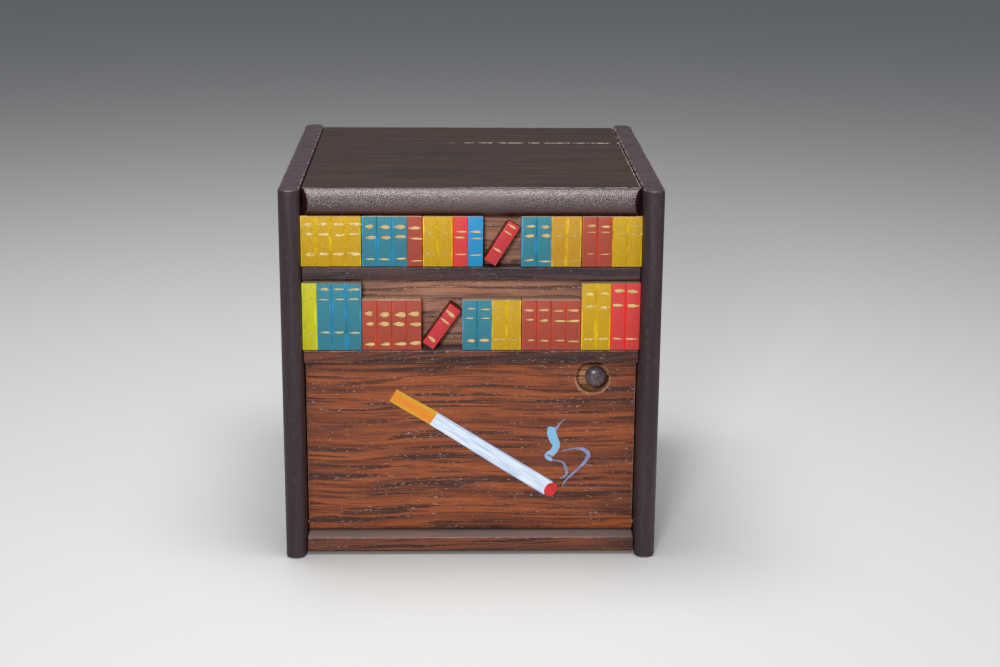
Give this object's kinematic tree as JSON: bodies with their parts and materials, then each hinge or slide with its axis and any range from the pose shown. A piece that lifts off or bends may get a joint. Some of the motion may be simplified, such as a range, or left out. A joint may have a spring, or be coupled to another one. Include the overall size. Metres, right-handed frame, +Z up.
{
  "type": "puzzle box",
  "caption": "Wooden puzzle cigarette box shaped as a bookcase; turning books latch its hinged lid and fall-front panel, and a sliding catch bolts the panel.",
  "frame": {"origin": "on the floor plane, under the middle of the case's bounding box", "axes": "+Z up, the front with the books faces -Y, +X to the right seen from the front"},
  "size_m": [0.109, 0.112, 0.1104],
  "materials": {
    "side_wood": "old polish, grain upright",
    "top_wood": "old polish, worn, grain across",
    "nose_wood": "glossy polish",
    "panel_wood": "satin polish, streaked",
    "shelf_wood": "satin polish, streaked",
    "inner_wood": "bare",
    "knob_wood": "polished by fingers",
    "pin_metal": "drawn wire",
    "paint_yellow": "brushed gloss paint",
    "paint_blue": "brushed gloss paint",
    "paint_brown_red": "brushed gloss paint",
    "paint_red": "brushed gloss paint"
  },
  "bodies": {
    "case": {"left_side": "side_wood", "right_side": "side_wood", "base_board": "shelf_wood", "middle_board": "shelf_wood", "back_panel": "top_wood", "rear_top_strip": "top_wood", "book_panel": "panel_wood", "upper_shelf": "shelf_wood", "upper_books_1": "paint_yellow", "upper_books_2": "paint_blue", "upper_books_3": "paint_yellow", "upper_books_4": "paint_blue", "upper_books_5": "paint_brown_red", "lower_books_1": "paint_blue", "lower_books_2": "paint_brown_red", "lower_books_3": "paint_blue", "lower_books_4": "paint_brown_red", "lower_books_5": "paint_yellow", "left_flap_stop": "inner_wood", "right_flap_stop": "inner_wood", "bolt_keeper": "inner_wood"},
    "lid": {"lid_board": "top_wood", "lid_nose": "nose_wood", "lid_keeper": "inner_wood", "lid_pin_left": "pin_metal", "lid_pin_right": "pin_metal"},
    "flap": {"flap_board": "panel_wood", "flap_pin_left": "pin_metal", "flap_pin_right": "pin_metal", "flap_keeper": "inner_wood", "catch_rail_upper": "inner_wood", "catch_rail_lower": "inner_wood", "catch_cover": "inner_wood"},
    "catch": {"catch_slider": "inner_wood", "catch_tongue": "inner_wood", "catch_knob": "knob_wood"},
    "upper_latch": {"upper_leaning_book": "paint_red", "upper_latch_dowel": "inner_wood", "upper_latch_hook": "inner_wood"},
    "lower_latch": {"lower_leaning_book": "paint_red", "lower_latch_dowel": "inner_wood", "lower_latch_tail": "inner_wood"}
  },
  "joints": [
    {"name": "lid_hinge", "type": "hinge", "parent": "case", "child": "lid", "pos_m": [0, 0.0216, 0.1081], "axis": [-1, 0, 0], "range_deg": [0, 104]},
    {"name": "flap_hinge", "type": "hinge", "parent": "case", "child": "flap", "pos_m": [0, -0.0459, 0.00775], "axis": [1, 0, 0], "range_deg": [0, 90]},
    {"name": "catch_slide", "type": "slide", "parent": "flap", "child": "catch", "axis": [-1, 0, 0], "range_m": [0, 0.0025]},
    {"name": "upper_book_turn", "type": "hinge", "parent": "case", "child": "upper_latch", "pos_m": [0.00686, -0.0455, 0.09189], "axis": [0, -1, 0], "range_deg": [0, 31.8]},
    {"name": "lower_book_turn", "type": "hinge", "parent": "case", "child": "lower_latch", "pos_m": [-0.01066, -0.0455, 0.06718], "axis": [0, -1, 0], "range_deg": [0, 34.9]}
  ]
}
